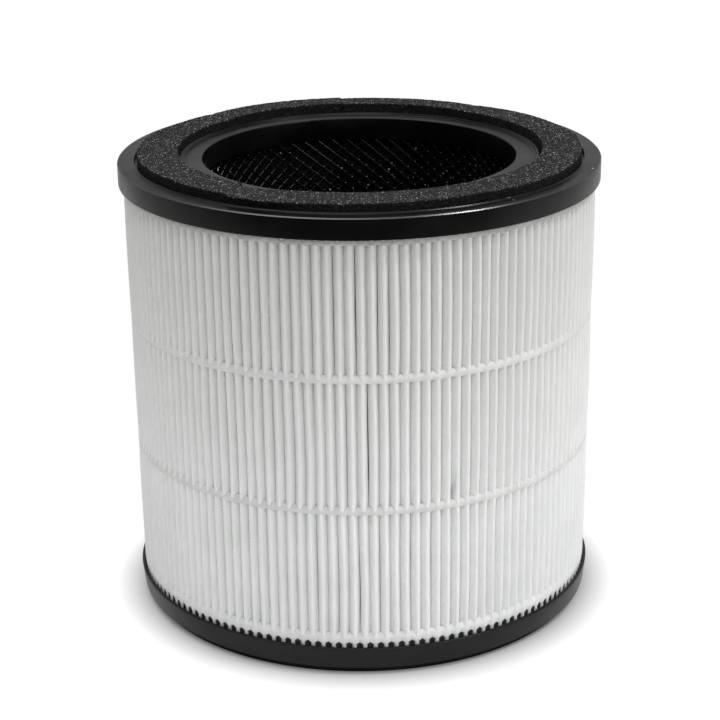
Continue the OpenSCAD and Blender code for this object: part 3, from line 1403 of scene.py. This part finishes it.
    def valley_share(self, station: int) -> float:
        """0 on a crest's middle and 1 in the middle of a valley."""
        phase = (station % self.per_pleat() - self.crest_steps / 2 - 1) / self.per_pleat()
        return math.sin(math.pi * phase) ** 2

    def build_bead(self, index: int, material: bpy.types.Material) -> None:
        """Lays one glue bead: it fills the valleys and runs on over the crests.

        Args:
            index: which bead, from the bottom.
            material: its adhesive.
        """
        paper = self.outline(self.beads[index], True)
        columns = [self.bead_column(index, station, wall) for station, wall in enumerate(paper)]
        bm = lofted([list(ring) for ring in zip(*columns)])
        node = self.bead_nodes[index]
        Piece(node + "_line", "bead_glue", (node,), math.radians(60)).place(bm, material)

    def bead_column(self, index: int, station: int, wall: Vector) -> list[Vector]:
        """Finds the points of a bead's section at one station of the sheet.

        Args:
            index: which bead, from the bottom.
            station: which point of the sheet's outer face it stands at.
            wall: that point, in metres.

        Returns:
            The points, in metres, from inside the paper out, up the front and back in.
        """
        middle, half = self.beads[index], self.bead_h / 2
        step = self.pitch() / self.per_pleat()
        angle = math.pi / 2 + step * (station - self.crest_steps / 2 - 1)
        valley = self.valley_share(station)
        along, up = self.wobble_pace
        wobble = noise.noise(Vector((station * along, index * up, 0))) * self.wobble
        radius = self.crest_at(0, middle) + self.bead_proud - self.bead_sag * valley
        radius += wobble * self.wobble_out
        low = middle - half + self.bead_arch * valley + wobble
        high = middle + half + self.bead_climb * valley + wobble * self.wobble_top
        start, behind = low, []
        if index == 0:
            gable = math.asin(math.sqrt(valley)) * 2 / math.pi
            low = self.rim_top + self.foot_h + self.foot_arch * (gable - 1)
            low += wobble * self.wobble_foot
            start = self.rim_top - self.foot_low
            behind = [start, low + self.foot_lift]
        core = wall.copy()
        core.xy -= Vector((math.cos(angle), math.sin(angle))) * self.bead_bite * MM
        back = radius - self.foot_back - self.foot_sink * valley
        column = [Vector((core.x, core.y, start * MM))]
        column += [self.spot(back, 0.0, angle, height) for height in behind]
        for level in self.bead_levels:
            height = (low + high) / 2 + (high - low) / 2 * level
            sink = self.bead_round * abs(level) ** 4 + self.bead_sink * valley * max(level, 0.0)
            column.append(self.spot(radius - sink, 0.0, angle, height))
        column.append(Vector((core.x, core.y, high * MM)))
        return column

    def build(self, paper: bpy.types.Material, glues: Sequence[bpy.types.Material]) -> None:
        """Builds the sheet and its beads.

        Args:
            paper: the sheet's non-woven.
            glues: the adhesive of each bead, from the bottom.
        """
        self.build_sheet(paper)
        for index, glue in enumerate(glues):
            self.build_bead(index, glue)


# Carbon core


@dataclass
class CarbonCore:
    """The well's lining: a bed of granules behind an extruded diamond net, in mm."""

    low: float = MEDIA_LOW
    top: float = MEDIA_TOP
    # The bed and its granules
    bed_in: float = 63.6
    bed_out: float = 67.3
    grain: float = 1.7
    grain_depth: float = 0.72
    bed_step: float = 0.95
    # The net: two layers of strands, each with half a turn from bottom to top
    net_r: float = 62.85
    layer_gap: float = 0.2
    strand_r: float = 0.27
    strands: int = 66
    strand_sides: int = 5
    strand_steps: int = 50
    sweep: float = math.radians(180)
    # The knots: their size and its spread, how far they turn, and their shape out, across, up
    knot_r: float = 0.85
    knot_sizes: tuple[float, float] = (0.75, 1.1)
    knot_turn: float = 0.25
    knot_shape: tuple[float, float, float] = (0.85, 1.0, 1.15)

    def build_bed(self, material: bpy.types.Material) -> None:
        """Turns the bed and raises granules on the face that shows through the net.

        Args:
            material: its granules.
        """
        rise = self.top - self.low
        rows = round(rise / self.bed_step)
        points = [(self.bed_in, self.low + rise * row / rows) for row in range(rows + 1)]
        points += [(self.bed_out, self.top), (self.bed_out, self.low)]
        bm = turned(points, round(math.tau * self.bed_in / self.bed_step))
        limit = (self.bed_in + self.bed_out) / 2 * MM
        for vert in bm.verts:
            radius = vert.co.xy.length
            if radius < limit:
                near = noise.voronoi(vert.co / MM / self.grain)[0]
                depth = min(near[0], 1.0) ** 2 * self.grain_depth
                vert.co.xy *= 1 + depth * MM / radius
        bed = Piece("carbon_granules_bed", "carbon", ("carbon_bed",), math.radians(60))
        bed.place(bm, material)

    def build_net(self, material: bpy.types.Material) -> None:
        """Winds a left and a right strand with a knot at each crossing, and repeats them round.

        Args:
            material: its plastic.
        """
        bm = bmesh.new()
        rise = self.top - self.low - 2 * self.strand_r
        self.wind(bm, 1, self.net_r - self.layer_gap, rise)
        self.wind(bm, -1, self.net_r + self.layer_gap, rise)
        self.add_knots(bm, rise)
        repeat_round(bm, math.tau / self.strands, self.strands)
        bmesh.ops.recalc_face_normals(bm, faces=bm.faces)
        Piece("diamond_net", "net_plastic", ("inner_net",), math.radians(70)).place(bm, material)

    def wind(self, bm: bmesh.types.BMesh, side: int, radius: float, rise: float) -> None:
        """Winds one strand upwards, to the left or to the right.

        Args:
            bm: the net so far.
            side: 1 or -1, the way it slants.
            radius: the layer's radius.
            rise: its height.
        """
        circle = bmesh.ops.create_circle(
            bm, cap_ends=True, segments=self.strand_sides, radius=self.strand_r * MM,
        )["verts"]
        start = Vector((radius, 0, self.low + self.strand_r)) * MM
        slant = math.atan2(rise, radius * self.sweep)
        tilt = Matrix.Rotation(-side * (math.pi / 2 - slant), 4, "X")
        bmesh.ops.transform(bm, matrix=Matrix.Translation(start) @ tilt, verts=circle)
        edges = list({edge for vert in circle for edge in vert.link_edges})
        last = bmesh.ops.spin(
            bm, geom=edges, cent=(0, 0, 0), axis=(0, 0, 1), angle=side * self.sweep,
            dvec=(0, 0, rise * MM / self.strand_steps), steps=self.strand_steps,
        )["geom_last"]
        bm.faces.new([piece for piece in last if isinstance(piece, bmesh.types.BMVert)])

    def add_knots(self, bm: bmesh.types.BMesh, rise: float) -> None:
        """Adds a small lump wherever the left strand crosses a right one.

        Args:
            bm: the net so far.
            rise: the strands' height.
        """
        rng = random.Random(SEED)
        step = math.pi / self.strands
        for row in range(1, int(self.sweep / step)):
            height = self.low + self.strand_r + rise * row * step / self.sweep
            angle = row * step
            spot = Vector((self.net_r * math.cos(angle), self.net_r * math.sin(angle), height))
            twist = rng.uniform(-self.knot_turn, self.knot_turn)
            turn = Matrix.Rotation(angle + twist, 4, "Z")
            shape = Matrix.Diagonal((*self.knot_shape, 1.0))
            size = self.knot_r * rng.uniform(*self.knot_sizes)
            matrix = Matrix.Translation(spot * MM) @ turn @ shape
            bmesh.ops.create_icosphere(bm, subdivisions=1, radius=size * MM, matrix=matrix)

    def build(self, grain: bpy.types.Material, plastic: bpy.types.Material) -> None:
        """Builds the bed and the net.

        Args:
            grain: the granules' finish.
            plastic: the net's plastic.
        """
        self.build_bed(grain)
        self.build_net(plastic)


# Pieces that stay as packed


def dress_nodes(materials: dict[str, bpy.types.Material]) -> None:
    """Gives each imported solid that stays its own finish.

    Args:
        materials: the finish for each node's name.
    """
    for node, material in materials.items():
        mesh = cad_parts[node].data
        mesh.materials.clear()
        mesh.materials.append(material)
        LOG.info("%s: %s", node, material.name)


# Studio


@dataclass
class Camera:
    """The photograph's viewpoint, in metres and radians."""

    place: Place = (0.0, -0.73178, 0.35772)
    yaw: float = -0.0009
    pitch: float = 0.3478
    roll: float = -0.0127
    lens: float = 96.96
    sensor: float = 36.0

    def build(self) -> None:
        """Makes the camera and looks through it."""
        forward = Vector((
            math.sin(self.yaw) * math.cos(self.pitch),
            math.cos(self.yaw) * math.cos(self.pitch),
            -math.sin(self.pitch),
        ))
        level = Vector((math.cos(self.yaw), -math.sin(self.yaw), 0))
        above = level.cross(forward)
        right = level * math.cos(self.roll) + above * math.sin(self.roll)
        upward = above * math.cos(self.roll) - level * math.sin(self.roll)
        data = bpy.data.cameras.new("photo_camera")
        data.sensor_width = self.sensor
        data.lens = self.lens
        camera = bpy.data.objects.new("photo_camera", data)
        axes = Matrix((right, upward, -forward)).transposed().to_4x4()
        camera.matrix_world = Matrix.Translation(self.place) @ axes
        bpy.context.scene.collection.objects.link(camera)
        bpy.context.scene.camera = camera


@dataclass(frozen=True)
class Panel:
    """A soft rectangular light, in metres and watts."""

    name: str
    place: Place
    aim: Place
    width: float
    height: float
    power: float

    def build(self) -> None:
        """Hangs the light and turns it to its aim."""
        data = bpy.data.lights.new(self.name, "AREA")
        data.shape = "RECTANGLE"
        data.size = self.width
        data.size_y = self.height
        data.energy = self.power
        light = bpy.data.objects.new(self.name, data)
        look = Vector(self.aim) - Vector(self.place)
        light.rotation_euler = look.to_track_quat("-Z", "Y").to_euler()
        light.location = self.place
        bpy.context.scene.collection.objects.link(light)


@dataclass
class Studio:
    """A plain pale floor, a white surround and soft lights, in metres."""

    floor_size: float = 12.0
    floor_shade: float = 0.9
    floor_rough: float = 0.8
    floor_specular: float = 0.1
    # The contact shadow: its radii, its least light and the floor's own shade in it
    shade_start: float = 0.0872
    shade_end: float = 0.102
    shade_least: float = 0.05
    contact_shade: float = 0.45
    # The floor in front as the plastic mirrors it: its shade, and where it darkens
    dim_shade: float = 0.05
    near_front: float = -0.16
    far_front: float = -0.42
    # The surround: how far a direction points back or up, and the light from there
    back_span: tuple[float, float] = (-0.5, 0.6)
    back_light: tuple[float, float] = (0.05, 0.5)
    above_span: tuple[float, float] = (0.3, 1.0)
    above_light: tuple[float, float] = (0.0, 0.5)
    panels: tuple[Panel, ...] = (
        Panel("front_panel", (0.3, -1.9, 0.4), (0, 0, 0.03), 1.5, 0.5, 1.8),
        Panel("bank_panel", (0.1, -0.95, 1.25), (0, 0, 0.06), 0.9, 0.5, 4.0),
        Panel("key_panel", (0.66, -0.24, 1.21), (0, 0, 0.1), 0.2, 0.2, 6.0),
        Panel("top_panel", (-0.35, 0.05, 1.25), (0, 0, 0.1), 1.1, 0.9, 7.5),
        Panel("right_panel", (1.2, -0.75, 0.45), (0, 0, 0.08), 0.8, 0.8, 2.6),
    )

    def build_floor(self) -> None:
        """Lays the floor: white to the eye but for the contact shadow, dim where it mirrors."""
        bm = bmesh.new()
        bmesh.ops.create_grid(bm, x_segments=1, y_segments=1, size=self.floor_size / 2)
        mesh = bpy.data.meshes.new("studio_floor")
        bm.to_mesh(mesh)
        bm.free()
        floor = bpy.data.objects.new("studio_floor", mesh)
        bpy.context.scene.collection.objects.link(floor)
        finish = Finish("pale_floor")
        graph = finish.graph
        rays = graph.add("LightPath").outputs
        front = graph.span(finish.part("Y"), self.far_front, self.near_front, 1.0, 0.0)
        mirrored = graph.math("MULTIPLY", front, rays["Is Glossy Ray"])
        shades = (self.floor_shade, self.dim_shade, self.contact_shade)
        pale, dim, close = [(shade, shade, shade, 1) for shade in shades]
        clear = graph.span(
            finish.away(), self.shade_start, self.shade_end, self.shade_least, 1.0
        )
        viewed = rays["Is Camera Ray"]
        plain = graph.math("MULTIPLY", clear, viewed)
        tone = graph.blend(viewed, graph.blend(mirrored, pale, dim), close)
        finish.feed("Base Color", graph.blend(plain, tone, (0, 0, 0, 1)))
        finish.feed("Emission Color", (1, 1, 1, 1))
        finish.feed("Emission Strength", plain)
        finish.feed("Roughness", self.floor_rough)
        finish.feed("Specular IOR Level", self.floor_specular)
        mesh.materials.append(finish.material)

    def build_surround(self) -> None:
        """Makes the surround: white to the eye, bright behind and above, dim in front."""
        world = bpy.data.worlds.new("studio_surround")
        bpy.context.scene.world = world
        world.use_nodes = True
        graph = Graph(world.node_tree)
        sky = world.node_tree.nodes["Background"]
        look = graph.add("TexCoord").outputs["Generated"]
        parts = graph.add("SeparateXYZ", {"Vector": look}).outputs
        back = graph.span(parts["Y"], *self.back_span, *self.back_light)
        above = graph.span(parts["Z"], *self.above_span, *self.above_light)
        lit = graph.math("MAXIMUM", back, above)
        seen = graph.add("LightPath").outputs["Is Camera Ray"]
        grey = graph.add("CombineColor", {"Red": lit, "Green": lit, "Blue": lit}).outputs[0]
        graph.feed(sky.inputs["Color"], graph.blend(seen, grey, (1, 1, 1, 1)))
        sky.inputs["Strength"].default_value = 1.0

    def build(self) -> None:
        """Builds the floor, the surround and the lights, and sets a plain view."""
        self.build_floor()
        self.build_surround()
        for panel in self.panels:
            panel.build()
        view = bpy.context.scene.view_settings
        view.view_transform = "Standard"
        view.look = "None"


def main() -> None:
    """Builds the filter and its studio in order."""
    logging.basicConfig(level=logging.INFO, format="%(message)s")
    Camera().build()
    effects = SharedEffects()
    ledge = TopCap().face
    marks = (
        Mark((50.2, -70.3, ledge - 0.9), (51.9, -69.9, ledge + 0.5), 0.2),
        Mark((52.6, -69.3, ledge + 0.5), (54.4, -71.6, ledge), 0.18),
        Mark((87.0, -28.5, ledge), (87.1, -28.1, ledge), 0.4),
    )
    top_plastic = MouldedPlastic("satin_black_top", edge_specular=1.0, marks=marks).make(effects)
    # Painted reflection: a lighter, bluer copy of the black plastic, for the bright floor that the
    # bottom cap mirrors
    bottom_plastic = MouldedPlastic(
        "satin_black_bottom_painted_reflection", (0.0042, 0.0042, 0.0055), (0.0068, 0.0068, 0.0085),
        specular=0.24, edge_specular=0.24,
    ).make(effects)
    net_plastic = MouldedPlastic(
        "black_net", smooth=0.18, rough=0.3, specular=0.6, edge_specular=0.6, grain_scale=1500.0,
    ).make(effects)
    bead_glue = HotMelt("white_hot_melt", (0.68, 0.69, 0.68), (0.76, 0.76, 0.75)).make(effects)
    # Painted shade: the bottom bead's glue goes dark where it recedes into the notches by the rim
    foot_glue = HotMelt(
        "notch_shade_hot_melt", (0.76, 0.77, 0.77), (0.83, 0.83, 0.83), notch_shade_r=0.0895,
    ).make(effects)
    # Painted shade: a darker copy of the white glue for the top bead, which sits in the skirt's
    # shadow
    painted_shade_glue = HotMelt("painted_shade_hot_melt", (0.42, 0.425, 0.41), (0.5, 0.5, 0.485)).make(effects)
    potting = HotMelt("dark_potting", (0.02, 0.02, 0.022), (0.03, 0.03, 0.033)).make(effects)
    paper = PleatedPaper().make(effects)
    TopCap().build(top_plastic)
    BottomCap().build(bottom_plastic)
    FoamSeal().build(OpenCellFoam().make(effects))
    PleatPack().build(paper, (foot_glue, bead_glue, bead_glue, painted_shade_glue))
    CarbonCore().build(CarbonGrain().make(effects), net_plastic)
    dress_nodes({
        "top_potting": potting,
        "bottom_potting": potting,
        "seam_glue": bead_glue,
        "scrim_sleeve": ThinFleece().make(effects),
    })
    Studio().build()


if __name__ == "__main__":
    main()
